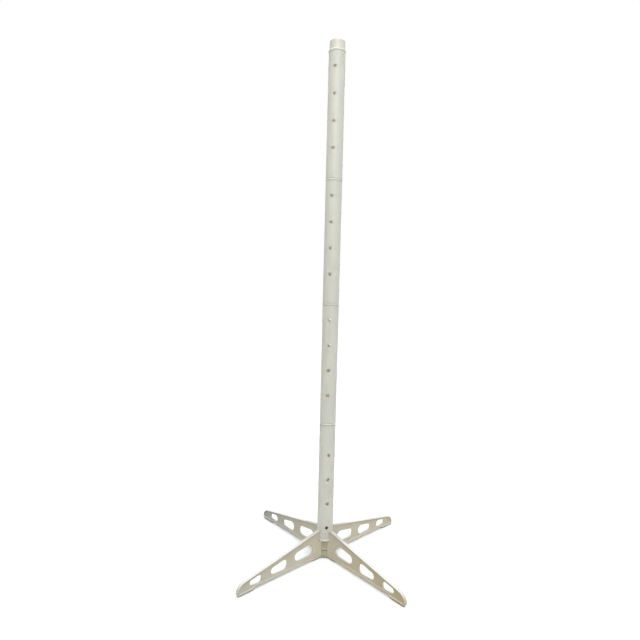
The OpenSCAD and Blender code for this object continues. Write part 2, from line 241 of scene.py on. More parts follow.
class StageSettings(bpy.types.PropertyGroup):
    lens: number("Lens", "Focal length in millimetres", 27.595, 10)
    sensor: number("Sensor", "Width of the camera's sensor in millimetres", 36, 10)
    tilt: angle("Tilt", "How far the camera looks down", 4.592)
    heading: angle("Heading", "Turn to the right of the Y axis", -3.007)
    roll: angle("Roll", "Roll of the camera, anticlockwise", 1.381)
    place: triple("Place", "Where the camera stands", 0.0475, -1.51307, 0.8804)
    ambient: number("Ambient", "Strength of the even studio light", 0.36)
    sky: number("Overhead light", "Strength of the wide light overhead", 3.25)
    sky_tint: colour("Overhead tint", "Tint of the wide light overhead", "#EFF6FF")
    sky_angle: angle("Overhead width", "How wide the overhead light is", 65)
    sky_height: angle("Overhead height", "Height of the overhead light's middle", 68)
    sky_side: angle("Overhead side", "How far right of the front it stands", 13)
    back: number("Back light", "Strength of the wide light behind", 0.85)
    back_aim: triple("Back light's aim", "Direction of the light behind", 0, -0.5, -0.87)
    box_power: number("Front box", "Power of the soft box in front of the mast's top", 13)
    box_place: triple("Front box's place", "Where the front box hangs", 0.1, -1.6, 1.9)
    rear_power: number("Rear box", "Power of the soft box behind the mast's top", 12)
    rear_place: triple("Rear box's place", "Where the rear box hangs", -0.1, 1.3, 1.9)
    box_size: number("Box width", "Width of the round soft boxes", 0.9, 0.05)
    box_target: triple("Boxes' aim", "Point on the mast that both boxes face", 0, 0, 1.5)
    floor_radius: number("Floor radius", "Radius of the studio floor", 9, 2)
    backdrop: colour("Backdrop", "Colour of the backdrop", "#FFFFFF")
    floor: colour("Floor", "Colour of the floor as it is seen", "#E6E5E3")
    floor_bounce: colour("Floor bounce", "Grey of the floor for the light it throws back", "#B8B2A7")


def arc(centre, radius, start, end, step=4):
    """Points along an arc in a plane, angles in degrees, at most step degrees apart."""
    count = max(1, math.ceil(abs(end - start) / step - 1e-6))
    angles = [math.radians(start + (end - start) * i / count) for i in range(count + 1)]
    return [(centre[0] + radius * math.cos(a), centre[1] + radius * math.sin(a)) for a in angles]


def softened(corners, step=22.5):
    """Closed outline whose corners (x, y, radius, ...) are rounded. What follows the radius is
    kept on each point that comes from the corner."""
    points = []
    for i, corner in enumerate(corners):
        here = Vector(corner[:2])
        back = Vector(corners[i - 1][:2]) - here
        ahead = Vector(corners[(i + 1) % len(corners)][:2]) - here
        radius, rest = corner[2], tuple(corner[3:])
        turn = math.pi - back.angle(ahead)
        # A bend of about a degree or less stays as it is
        if radius <= 0 or turn < 0.02:
            points.append((here.x, here.y) + rest)
            continue
        # Less than half of either side, so that the roundings of two corners can't meet
        cut = min(radius * math.tan(turn / 2), 0.48 * back.length, 0.48 * ahead.length)
        radius = cut / math.tan(turn / 2)
        middle = (back.normalized() + ahead.normalized()).normalized()
        centre = here + middle * radius / math.cos(turn / 2)
        first = here + back.normalized() * cut - centre
        last = here + ahead.normalized() * cut - centre
        count = max(1, math.ceil(math.degrees(turn) / step))
        for k in range(count + 1):
            # Two opposite directions have no shortest way between them
            spoke = first.slerp(last, k / count) if turn < 3.1 else first.lerp(last, k / count)
            spoke = spoke.normalized() * radius
            points.append((centre.x + spoke.x, centre.y + spoke.y) + rest)
    return points


def grown(outline, distance, shares=None):
    """Anticlockwise outline moved outwards by distance, or by a share of it at each point. What
    follows x and y is kept."""
    moved = []
    for i, point in enumerate(outline):
        here = Vector(point[:2])
        before = (here - Vector(outline[i - 1][:2])).normalized()
        after = (Vector(outline[(i + 1) % len(outline)][:2]) - here).normalized()
        a, b = Vector((before.y, -before.x)), Vector((after.y, -after.x))
        # A sharp corner moves further than its sides, but not without limit
        out = (a + b) * distance * (shares[i] if shares else 1) / max(0.3, 1 + a.dot(b))
        moved.append((here.x + out.x, here.y + out.y) + tuple(point[2:]))
    return moved


def inside(outline, x, y):
    """Whether a point lies in a closed outline."""
    odd = False
    for i, (x1, y1) in enumerate(outline):
        x0, y0 = outline[i - 1]
        if (y1 > y) != (y0 > y) and x < (x0 - x1) * (y - y1) / (y0 - y1) + x1:
            odd = not odd
    return odd


def quarter(radius, count=3):
    """(outwards, down) of the points of a rounded edge, from its flat top to its side."""
    steps = [math.pi / 2 * k / count for k in range(count + 1)]
    return [(-radius * (1 - math.sin(a)), radius * (1 - math.cos(a))) for a in steps]


def circle(radius, columns=96):
    angles = (2 * math.pi * i / columns for i in range(columns))
    return [(radius * math.cos(a), radius * math.sin(a)) for a in angles]


def cross(arm, thick):
    """Plan of a cross whose arms reach out to arm and are twice thick across."""
    return [(arm, -thick), (arm, thick), (thick, thick), (thick, arm), (-thick, arm),
            (-thick, thick), (-arm, thick), (-arm, -thick), (-thick, -thick), (-thick, -arm),
            (thick, -arm), (thick, -thick)]


def upright(place):
    """Where a point lies in a leg's side view."""
    return place.x, place.z


class Shell:
    """Closed surfaces built up from loops of points."""

    def __init__(self):
        self.bm = bmesh.new()

    def loop(self, points):
        return [self.bm.verts.new(p) for p in points]

    def bridge(self, a, b):
        """Faces between two loops of as many points, or from a loop to a single point."""
        for i in range(len(a)):
            j = (i + 1) % len(a)
            corners = (a[i], a[j], b[0]) if len(b) == 1 else (a[i], a[j], b[j], b[i])
            self.bm.faces.new(corners)

    def chain(self, loops):
        for a, b in zip(loops, loops[1:]):
            self.bridge(a, b)

    def fill(self, loops, flat, creases=(), extra=()):
        """Flat faces inside the first loop and outside the others. flat gives a point's place in
        the plane, creases are pairs of points that an edge has to join, and extra points lie
        between the loops."""
        points = [v for loop in loops for v in loop] + list(extra)
        place = {v: i for i, v in enumerate(points)}
        outlines = [[flat(v.co) for v in loop] for loop in loops]
        edges = [(place[v], place[loop[i - 1]]) for loop in loops for i, v in enumerate(loop)]
        edges += [(place[a], place[b]) for a, b in creases]
        places = [Vector(flat(v.co)) for v in points]
        _, _, faces, sources, *_ = delaunay_2d_cdt(places, edges, [], 1, 1e-7)
        for face in faces:
            corners = [points[sources[i][0]] for i in face]
            at = [flat(v.co) for v in corners]
            x, y = (sum(p[k] for p in at) / len(at) for k in (0, 1))
            if inside(outlines[0], x, y) and not any(inside(o, x, y) for o in outlines[1:]):
                self.bm.faces.new(corners)

    def turned(self, profile, columns=96):
        """A profile of (radius, height) turned round the Z axis. It ends on the axis, or closes."""
        rings = []
        for radius, height in profile:
            if radius < 1e-9:
                rings.append(self.loop([(0, 0, height)]))
                continue
            rings.append(self.loop([(x, y, height) for x, y in circle(radius, columns)]))
        pairs = list(zip(rings, rings[1:]))
        if len(rings[0]) > 1:
            pairs.append((rings[-1], rings[0]))
        for a, b in pairs:
            if len(a) == 1:
                a, b = b, a
            self.bridge(a, b)

    def plate(self, outline, holes, low, high, soft_low=0.0, soft_high=0.0, count=3):
        """Upright slab of an anticlockwise outline between two heights, its edges rounded."""
        def rounded(ring, side):
            down = [(grown(ring, side * out), low + drop) for out, drop in quarter(soft_low, count)]
            up = [(grown(ring, side * out), high - drop) for out, drop in quarter(soft_high, count)]
            down = down if soft_low else down[-1:]
            up = up if soft_high else up[-1:]
            return [self.loop([(x, y, z) for x, y in points]) for points, z in down + up[::-1]]
        stacks = [rounded(outline, 1)] + [rounded(hole, -1) for hole in holes]
        for stack in stacks:
            self.chain(stack)
        self.fill([stack[0] for stack in stacks], lambda co: co.xy)
        self.fill([stack[-1] for stack in stacks], lambda co: co.xy)

    def turn_to(self, azimuth):
        """Turns what was built along the X axis to an azimuth in degrees."""
        self.bm.transform(Matrix.Rotation(math.radians(azimuth), 4, "Z"))


def face_outwards(bm):
    """Turns the faces of each closed surface outwards."""
    bmesh.ops.recalc_face_normals(bm, faces=bm.faces[:])
    waiting = set(bm.faces)
    while waiting:
        surface = [waiting.pop()]
        for face in surface:
            beside = {other for edge in face.edges for other in edge.link_faces} & waiting
            waiting -= beside
            surface += beside
        if sum(f.normal.dot(f.calc_center_median()) * f.calc_area() for f in surface) < 0:
            bmesh.ops.reverse_faces(bm, faces=surface)


def piece(name, shell, finish, node):
    """Makes the object of a shell, which rides on the node's body and stands for the node."""
    face_outwards(shell.bm)
    mesh = bpy.data.meshes.new(name)
    shell.bm.to_mesh(mesh)
    shell.bm.free()
    mesh.polygons.foreach_set("use_smooth", [True] * len(mesh.polygons))
    mesh.set_sharp_from_angle(angle=CREASE)
    mesh.materials.append(finish_named(finish))
    made = bpy.data.objects.new(name, mesh)
    bpy.context.scene.collection.objects.link(made)
    weighted = made.modifiers.new("Even shading", "WEIGHTED_NORMAL")
    weighted.keep_sharp = True
    weighted.weight = FLAT_FACE_WEIGHT
    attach(made, BODY_OF[node])
    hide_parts(node)


def add(tree, kind, values, **settings):
    """Adds a node. settings are its own options, and values its inputs, each a plain value or
    the output that feeds it."""
    made = tree.nodes.new(kind)
    for name, value in settings.items():
        setattr(made, name, value)
    for name, value in values.items():
        if isinstance(value, bpy.types.NodeSocket):
            tree.links.new(value, made.inputs[name])
        else:
            made.inputs[name].default_value = value
    return made


def blank_finish(name):
    """A new material without any nodes, and its node tree."""
    finish = bpy.data.materials.new(name)
    finish.use_nodes = True
    finish.node_tree.nodes.clear()
    return finish, finish.node_tree


def ramp(tree, value, start, end, low=0.0, high=1.0, **settings):
    """Value that runs from low, where the other is at start, to high, where it is at end."""
    made = add(tree, "ShaderNodeMapRange", {"Value": value, "From Min": start, "From Max": end,
                                            "To Min": low, "To Max": high}, **settings)
    return made.outputs[0]


def maths(tree, operation, *values, **settings):
    """Result of a sum with one, two or three values."""
    made = add(tree, "ShaderNodeMath", dict(enumerate(values)), operation=operation, **settings)
    return made.outputs[0]


def noise(tree, place, across, **values):
    """Cloudy value from 0 to 1, whose patches are so many metres across."""
    made = add(tree, "ShaderNodeTexNoise", {"Vector": place, "Scale": 1 / across, **values})
    return made.outputs["Fac"]


def own_place(tree):
    """Where the shaded point lies in the piece's own frame."""
    return add(tree, "ShaderNodeTexCoord", {}).outputs["Object"]


def height_of(tree, place):
    return add(tree, "ShaderNodeSeparateXYZ", {0: place}).outputs["Z"]


def end_in(tree, output, kind, values):
    """Adds the shader that a node tree ends in, and the output that takes it."""
    shade = add(tree, kind, values)
    add(tree, output, {"Surface": shade.outputs[0]})


def opaque(rgb):
    return (*rgb, 1.0)


def satin_plastic(name, fresh, worn, roughness, streak, grain, glow, aged=(), upper=None,
                  painted_collar_shade=None, darker_below=None):
    """Satin thermoplastic. The eye gets a broad soft highlight over an even grain, a colour that is
    slightly duller in patches where it has been handled, and the light that comes through a thin wall,
    glow metres deep. What aged gives is a colour for the front right and one for the rear left, upper
    one for a painted top light on upper faces and one for that colour beside the mast, the next argument
    a painted shade for the gaps beside the collars, and the last one a colour with the height that it
    reaches up to, darker than the rest."""
    finish, tree = blank_finish(name)
    place = own_place(tree)
    drawn = add(tree, "ShaderNodeMapping", {"Vector": place, "Scale": (1, 1, streak)}).outputs[0]
    # Patches where hands and weather have dulled the surface
    patches = noise(tree, drawn, 70 * MM, Detail=4, Roughness=0.6)
    tone = blend(tree, ramp(tree, patches, 0.35, 0.7), fresh, worn)
    for side, age in zip((1, -1), aged):
        tone = blend(tree, towards(tree, place, patches, side), tone, age)
    # Painted light: faces that look up take a cooler top colour, standing in for the overhead light on
    # them; beside the mast it is darker
    if upper:
        above = blend(tree, beside_mast(tree, place), *upper)
        tone = blend(tree, upper_faces(tree), tone, above)
    # Painted shade in the gaps beside the collars, where the beads shade the tube and the coupling
    if painted_collar_shade:
        tone = blend(tree, painted_shade_beside_collars(tree, place), tone, painted_collar_shade)
    # A colour below a height: painted shade on the hub under its collar; on the legs a darker band along
    # the soles' lower edges
    if darker_below:
        below_tone, reach = darker_below
        tone = blend(tree, ramp(tree, height_of(tree, place), reach + MM, reach - MM), tone, below_tone)
    # Where it is duller it is rougher too
    gloss = ramp(tree, patches, 0.3, 0.7, roughness - 0.05, roughness + 0.07)
    # The real grain of the tool is about 0.1 mm, drawn as coarse as grain so that it shows
    texture = noise(tree, drawn, grain, Detail=2, Roughness=0.5)
    relief = add(tree, "ShaderNodeBump", {"Height": texture, "Strength": 0.25,
                                          "Distance": GRAIN_DEPTH}).outputs[0]
    end_in(tree, "ShaderNodeOutputMaterial", "ShaderNodeBsdfPrincipled", {
        "Base Color": tone, "Roughness": gloss, "Normal": relief, "IOR": 1.5,
        "Subsurface Weight": 1.0, "Subsurface Radius": (1.0, 0.95, 0.85), "Subsurface Scale": glow})
    return finish


def blend(tree, share, a, b):
    """Colour that runs from a to b, each a plain colour or the output that gives one."""
    mix = add(tree, "ShaderNodeMix", {"Factor": share}, data_type="RGBA")
    for socket, value in zip((s for s in mix.inputs if s.type == "RGBA"), (a, b)):
        if isinstance(value, bpy.types.NodeSocket):
            tree.links.new(value, socket)
        else:
            socket.default_value = opaque(value)
    return next(s for s in mix.outputs if s.type == "RGBA")


def towards(tree, place, patches, side):
    """Patchy share that grows towards the front right, or on side -1 towards the rear left."""
    front_right, first, last, most, patchy = (0.9, -0.43, 0), 0.02, 0.3, 0.9, 0.15
    along = add(tree, "ShaderNodeVectorMath", {0: place, 1: front_right}, operation="DOT_PRODUCT")
    grown_by = ramp(tree, along.outputs["Value"], first * side, last * side, 0, most)
    return maths(tree, "ADD", grown_by, ramp(tree, patches, 0, 1, -patchy, patchy), use_clamp=True)


# Mask of the painted top light
def upper_faces(tree):
    """Share that is full on faces that look up, and none on upright ones."""
    normal = add(tree, "ShaderNodeNewGeometry", {}).outputs["Normal"]
    return ramp(tree, height_of(tree, normal), 0.25, 0.7)


def beside_mast(tree, place):
    """Share that is full beside the mast's axis, and none from a third of the way along a leg."""
    near, far = 75 * MM, 115 * MM
    flat = add(tree, "ShaderNodeVectorMath", {0: place, 1: (1, 1, 0)}, operation="MULTIPLY")
    away = add(tree, "ShaderNodeVectorMath", {0: flat.outputs["Vector"]}, operation="LENGTH")
    return ramp(tree, away.outputs["Value"], near, far, 1, 0)


def painted_shade_beside_collars(tree, place):
    """Share of painted shade, standing in for the shadow of each coupling's bead: in the gap below the
    collar, and half as much in the gap above it. The hub's collar has none, and neither has the bare
    spigot at the top."""
    sizes = bpy.context.scene.mast_couplings
    below, above, full, gone = 0.42, 0.2, 0.7 * MM, 1.5 * MM
    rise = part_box("mast_tube_2")[0].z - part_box("mast_tube_1")[0].z
    foot = hub_collar_foot(sizes)
    height = height_of(tree, place)
    # Height within one section, in which the collar's foot is half way up
    within = maths(tree, "MODULO", maths(tree, "ADD", height, rise / 2 - foot), rise)
    shares = []
    for gap, most in ((rise / 2, below), (rise / 2 + sizes.collar, above)):
        away = maths(tree, "ABSOLUTE", maths(tree, "SUBTRACT", within, gap))
        shares.append(ramp(tree, away, full, gone, most, 0))
    low, high = foot + rise / 2, foot + len(SECTIONS) * rise + sizes.collar / 2
    along_mast = maths(tree, "COMPARE", ramp(tree, height, low, high, clamp=False), 0.5, 0.5)
    return maths(tree, "MULTIPLY", maths(tree, "MAXIMUM", *shares), along_mast)


def zinc_plated_steel(name, bright, dull):
    """Zinc-plated steel. The eye gets a soft grey metal with a faint cloudy bloom."""
    finish, tree = blank_finish(name)
    bloom = noise(tree, own_place(tree), 3 * MM, Detail=3)
    end_in(tree, "ShaderNodeOutputMaterial", "ShaderNodeBsdfPrincipled", {
        "Base Color": blend(tree, bloom, bright, dull),
        "Roughness": ramp(tree, bloom, 0, 1, 0.28, 0.42), "Metallic": 1.0})
    return finish


def dusty_rubber(name, clean, dusty):
    """Moulded rubber. The eye gets a dull dark surface, greyer where floor dust clings to it."""
    finish, tree = blank_finish(name)
    place = own_place(tree)
    dust = noise(tree, place, 8 * MM, Detail=5, Roughness=0.7)
    pores = noise(tree, place, 0.3 * MM)
    relief = add(tree, "ShaderNodeBump", {"Height": pores, "Strength": 0.4, "Distance": GRAIN_DEPTH})
    end_in(tree, "ShaderNodeOutputMaterial", "ShaderNodeBsdfPrincipled", {
        "Base Color": blend(tree, dust, clean, dusty), "Roughness": 0.85, "IOR": 1.52,
        "Normal": relief.outputs[0]})
    return finish


def finish_named(name):
    """The finish of that name, made once."""
    found = bpy.data.materials.get(name)
    if found:
        return found
    scene = bpy.context.scene
    looks = scene.mast_finishes
    if name == "extruded_tube_plastic":
        # Extruded PVC: long soft streaks along the tube, a wall thin enough to glow inside, and painted
        # shade beside the collars
        return satin_plastic(name, looks.tube, looks.tube_worn, roughness=0.46, streak=0.25,
                             grain=0.6 * MM, glow=8 * MM, painted_collar_shade=looks.painted_collar_shade)
    if name == "moulded_coupling_plastic":
        # Moulded ABS: an even fine grain, and painted shade beside the collar
        return satin_plastic(name, looks.coupling, looks.coupling_worn, roughness=0.42, streak=1,
                             grain=0.5 * MM, glow=0.8 * MM, painted_collar_shade=looks.painted_collar_shade)
    if name == "moulded_hub_plastic":
        # Moulded ABS like the couplings, with painted shade below its collar, where the collar and the
        # legs shade it
        return satin_plastic(name, looks.coupling, looks.coupling_worn, roughness=0.44, streak=1,
                             grain=0.5 * MM, glow=0.8 * MM,
                             darker_below=(looks.hub_painted_shade, hub_collar_foot(scene.mast_couplings)))
    if name == "moulded_leg_plastic":
        # Moulded ABS, coarser grain and duller than the couplings, with a painted top light on faces
        # that look up, and a darker band along the soles' lower edges
        return satin_plastic(name, looks.leg, looks.leg_worn, roughness=0.5, streak=1,
                             grain=0.7 * MM, glow=0.8 * MM,
                             aged=(looks.leg_yellowed, looks.leg_greyed),
                             upper=(looks.leg_painted_top_light, looks.leg_top_by_mast),
                             darker_below=(looks.leg_dark_sole_edge, DARK_SOLE_EDGE_TO))
    if name == "zinc_plated_steel":
        return zinc_plated_steel(name, looks.zinc, looks.zinc_dull)
    if name == "moulded_rubber":
        return dusty_rubber(name, looks.rubber, looks.rubber_dusty)
    raise ValueError(f"there is no finish named {name}")


def tube_holes(section):
    """(azimuth, height, radius) of both ends of each peg hole of a section, from the record."""
    found = []
    for name, mount in MOUNTS.items():
        if name.startswith(f"peg_hole_{section}"):
            azimuth = math.atan2(mount["axis"][1], mount["axis"][0])
            radius = mount["dims"]["r_mm"] * MM
            found.append((azimuth, mount["pos_m"][2], radius))
            found.append((azimuth + math.pi, mount["pos_m"][2], radius))
    if not found:
        raise RuntimeError(f"the record has no peg holes for section {section}")
    return found


def drilled_wall(shell, radius, low, high, holes, margin, columns, start):
    """One face of a tube's wall as an even grid, open where the holes are. Returns its end rings,
    and for each hole the loop round it at distance margin from the hole's edge."""
    # Each hole takes a patch of the grid, so many columns to each side of it and so many rows high
    patch, spread = columns // 20, 6
    half = radius * math.sin(2 * math.pi * patch / columns)
    levels = sorted({round(z, 6) for _, z, _ in holes})
    rows = [low] + [z + half * (2 * k / spread - 1) for z in levels for k in range(spread + 1)] + [high]
    angles = [start + 2 * math.pi * i / columns for i in range(columns)]
    grid = [shell.loop([(radius * math.cos(a), radius * math.sin(a), z) for a in angles])
            for z in rows]
    closed, loops = set(), []
    for azimuth, z, size in holes:
        middle = round((azimuth - start) * columns / (2 * math.pi)) % columns
        first = 1 + levels.index(round(z, 6)) * (spread + 1)
        closed |= {(r, (middle + c) % columns) for r in range(first, first + spread)
                   for c in range(-patch, patch)}
        # The patch's border, from the middle of its right side round, as (row, column)
        right = [(first + spread // 2 + k, patch) for k in range(spread // 2)]
        top = [(first + spread, patch - k) for k in range(2 * patch)]
        left = [(first + spread - k, -patch) for k in range(spread)]
        bottom = [(first, -patch + k) for k in range(2 * patch)]
        rest = [(first + k, patch) for k in range(spread // 2)]
        border = [grid[r][(middle + c) % columns] for r, c in right + top + left + bottom + rest]
        aim = angles[middle]
        across = [(-v.co.x * math.sin(aim) + v.co.y * math.cos(aim), v.co.z - z) for v in border]
        turns = [math.atan2(h, s) for s, h in across]
        middle_loop = ring_on_wall(shell, radius, aim, z, turns, (size + margin + half) / 2)
        edge_loop = ring_on_wall(shell, radius, aim, z, turns, size + margin)
        shell.chain([border, middle_loop, edge_loop])
        loops.append((edge_loop, aim, z, size, turns))
    for r in range(len(rows) - 1):
        for c in range(columns):
            if (r, c) not in closed:
                d = (c + 1) % columns
                shell.bm.faces.new((grid[r][c], grid[r][d], grid[r + 1][d], grid[r + 1][c]))
    return grid[0], grid[-1], loops


def ring_on_wall(shell, radius, aim, z, turns, size):
    """Loop of a straight round hole where it meets a cylinder of that radius."""
    points = []
    for turn in turns:
        s, h = size * math.cos(turn), size * math.sin(turn)
        out = math.sqrt(radius * radius - s * s)
        points.append((out * math.cos(aim) - s * math.sin(aim),
                       out * math.sin(aim) + s * math.cos(aim), z + h))
    return shell.loop(points)


class MAST_OT_tubes(bpy.types.Operator):
    """Four cross-drilled tubes with chamfered ends and softened holes"""

    bl_idname = "mast.tubes"
    bl_label = "Mast tubes"

    def execute(self, context):
        for section in SECTIONS:
            self.make_tube(section, context.scene.mast_tubes)
        return {"FINISHED"}

    def make_tube(self, section, sizes):
        node, shell, holes = f"mast_tube_{section}", Shell(), tube_holes(section)
        low, high = (corner.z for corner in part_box(node))
        outer, start = frame_radius(node), holes[0][0]
        bore = outer - sizes.wall
        end = self.end_profile(outer, bore, sizes)
        skin, inner = (
            drilled_wall(shell, radius, low + depth, high - depth, holes, sizes.hole_round,
                         sizes.columns, start)
            for radius, depth in ((outer, end[-1][1]), (bore, end[0][1])))
        angles = [start + 2 * math.pi * i / sizes.columns for i in range(sizes.columns)]
        for side, foot, here in ((1, low, 0), (-1, high, 1)):
            rings = [shell.loop([(r * math.cos(a), r * math.sin(a), foot + side * z) for a in angles])
                     for r, z in end[1:-1]]
            shell.chain([inner[here]] + rings + [skin[here]])
        edge = quarter(sizes.hole_round)
        for (brink, aim, z, size, turns), within in zip(skin[2], inner[2]):
            steps = [(outer - down, size - out) for out, down in edge[1:]]
            steps += [(bore + down, size - out) for out, down in edge[:0:-1]]
            through = [ring_on_wall(shell, radius, aim, z, turns, width) for radius, width in steps]
            shell.chain([brink] + through + [within[0]])
        piece(f"drilled_tube_{section}", shell, "extruded_tube_plastic", node)

    def end_profile(self, outer, bore, sizes):
        """(radius, depth) round a tube's end, from its bore to its skin."""
        reach = 3 * sizes.end_chamfer
        corners = [(bore, reach, 0), (bore, 0, sizes.end_round),
                   (outer - sizes.end_chamfer, 0, sizes.end_round),
                   (outer, sizes.end_chamfer, sizes.end_chamfer), (outer, reach, 0)]
        return softened(corners)


def frame_radius(node):
    """Outer radius of a round node about the mast's axis."""
    low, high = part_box(node)
    return max(high.x, high.y, -low.x, -low.y)


def hub_collar_foot(sizes):
    """Height of the foot of the hub's collar, which stands as high above it as a coupling's."""
    return HUB_BOX[1].z - (COUPLING_BOX[1].z - COUPLING_BOX[0].z - sizes.plug)


def collar_profile(node, foot, top):
    """(radius, height) corners of a node's collar with its bead, and of the spigot above it,
    from the collar's foot out and up, and down to the floor inside."""
    scene = bpy.context.scene
    sizes = scene.mast_couplings
    soft, inner = sizes.soft, SPIGOT - sizes.wall
    base = frame_radius("mast_tube_1") - scene.mast_tubes.end_chamfer
    centre = frame_radius(node) - sizes.bead_radius
    lean = math.degrees(math.acos((base - centre) / sizes.bead_radius))
    bead = arc((centre, foot + sizes.bead_height), sizes.bead_radius, -lean, lean, 12)
    return ([(base, foot, 0)] + [(r, z, 0) for r, z in bead]
            + [(base, foot + sizes.collar, soft), (SPIGOT, foot + sizes.collar, soft),
               (SPIGOT, top - sizes.lead_in, soft), (SPIGOT - sizes.lead_in, top, soft),
               (inner, top, soft), (inner, foot + sizes.floor, soft), (0, foot + sizes.floor, 0)])


class MAST_OT_couplings(bpy.types.Operator):
    """Four collared couplings, each with its ribbed plug and its spigot"""

    bl_idname = "mast.couplings"
    bl_label = "Couplings"

    def execute(self, context):
        sizes = context.scene.mast_couplings
        bore = frame_radius("mast_tube_1") - context.scene.mast_tubes.wall
        # A hair's gap in the bore, so that the plug and the tube don't share a surface
        held, inner = bore - HAIR, bore - sizes.wall
        for section in SECTIONS:
            node = f"coupling_{section}"
            low, high = (corner.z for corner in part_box(node))
            foot = low + sizes.plug
            plug = [(0, foot, 0), (inner, foot, 0), (inner, low, sizes.soft),
                    (bore - sizes.lead_in, low, sizes.soft), (held, low + sizes.lead_in, sizes.soft),
                    (held, foot, 0)]
            shell = Shell()
            shell.turned([p[:2] for p in softened(plug + collar_profile(node, foot, high))])
            shell.plate(cross(bore - sizes.wall / 2, sizes.rib / 2), [], foot - sizes.rib_height,
                        foot + RIB_SUNK, sizes.soft, 0)
            piece(f"moulded_coupling_{section}", shell, "moulded_coupling_plastic", node)
        return {"FINISHED"}


def hub_outline(radius, lug=None):
    """Plan of the hub's core with a keyhole slot for each leg's tongue, and with lugs between
    the legs if lug gives their outer radius."""
    sizes, legs = bpy.context.scene.mast_hub, bpy.context.scene.mast_legs
    bead, neck = legs.bead + sizes.fit, legs.neck / 2 + sizes.fit
    mouth, turn = (math.degrees(math.asin(neck / r)) for r in (radius, bead))
    slot = arc((sizes.core / 2 - legs.bead_depth - legs.bead, 0), bead, -turn, turn - 360, 12)
    if lug:
        gap = legs.root / 2 + sizes.fit
        side, shoulder = (math.degrees(math.asin(gap / r)) for r in (lug, radius))
        plan = (arc((0, 0), radius, -shoulder, -mouth) + slot
                + arc((0, 0), radius, mouth, shoulder) + arc((0, 0), lug, side, 90 - side))
    else:
        plan = ([(radius * math.cos(math.radians(mouth)), -neck)] + slot
                + arc((0, 0), radius, mouth, 90 - mouth)[:-1])
    spins = [Matrix.Rotation(math.radians(azimuth), 2) for azimuth in sorted(LEGS.values())]
    return [tuple(spin @ Vector(p)) for spin in spins for p in plan]


def screw_hole(sizes):
    return circle(sizes.shank / 2 + sizes.screw_fit, 32)


def nut_radius():
    """Radius of the nut's corners."""
    low, high = NUT_BOX
    return max(high.x - low.x, high.y - low.y) / 2


class MAST_OT_hub(bpy.types.Operator):
    """Hub body with its collar and lugs, and the hub cap below it"""

    bl_idname = "mast.hub"
    bl_label = "Hub"

    def execute(self, context):
        self.make_body(context.scene.mast_hub, context.scene.mast_couplings)
        self.make_cap(context.scene.mast_hub)
        return {"FINISHED"}

    def make_body(self, sizes, collar):
        radius, hole = sizes.core / 2, screw_hole(sizes)
        low, high = HUB_BOX[0].z, HUB_BOX[1].z
        foot, nut_foot = hub_collar_foot(collar), NUT_BOX[0].z
        floor, lugs_top = foot + collar.floor, low + sizes.lug_height
        ceiling = floor - sizes.body_ceiling
        pocket = circle(nut_radius() + sizes.recess_fit, 6)
        shell = Shell()
        shell.plate(hub_outline(radius, radius + sizes.lug_proud), [hole], low, lugs_top, sizes.soft,
                    sizes.soft)
        shell.plate(hub_outline(radius), [hole], lugs_top - sizes.soft, ceiling)
        shell.plate(circle(radius), [hole], ceiling, nut_foot)
        shell.plate(circle(radius), [pocket], nut_foot, foot)
        shell.plate(circle(radius + CORE_SUNK), [pocket], foot, floor)
        first, *others, _ = collar_profile("hub_body", foot, high)
        corners = [(radius, foot, 0), (*first[:2], collar.soft), *others, (radius, floor, 0)]
        shell.turned([p[:2] for p in softened(corners)])
        piece("moulded_hub_body", shell, "moulded_hub_plastic", "hub_body")

    def make_cap(self, sizes):
        radius, hole = sizes.core / 2, screw_hole(sizes)
        low, high = CAP_BOX[0].z, CAP_BOX[1].z
        sockets, groove = low + sizes.cap_floor, high - sizes.groove_height
        recess = circle(frame_radius("hub_washer") + sizes.recess_fit, 48)
        shell = Shell()
        shell.plate(circle(radius), [recess], low, WASHER_BOX[1].z, 1.5 * sizes.soft, 0)
        shell.plate(circle(radius), [hole], WASHER_BOX[1].z, sockets)
        shell.plate(hub_outline(radius), [hole], sockets, groove, 0, sizes.soft)
        shell.plate(hub_outline(radius - sizes.groove_depth), [hole], groove - sizes.soft, high)
        piece("moulded_hub_cap", shell, "moulded_hub_plastic", "hub_cap")


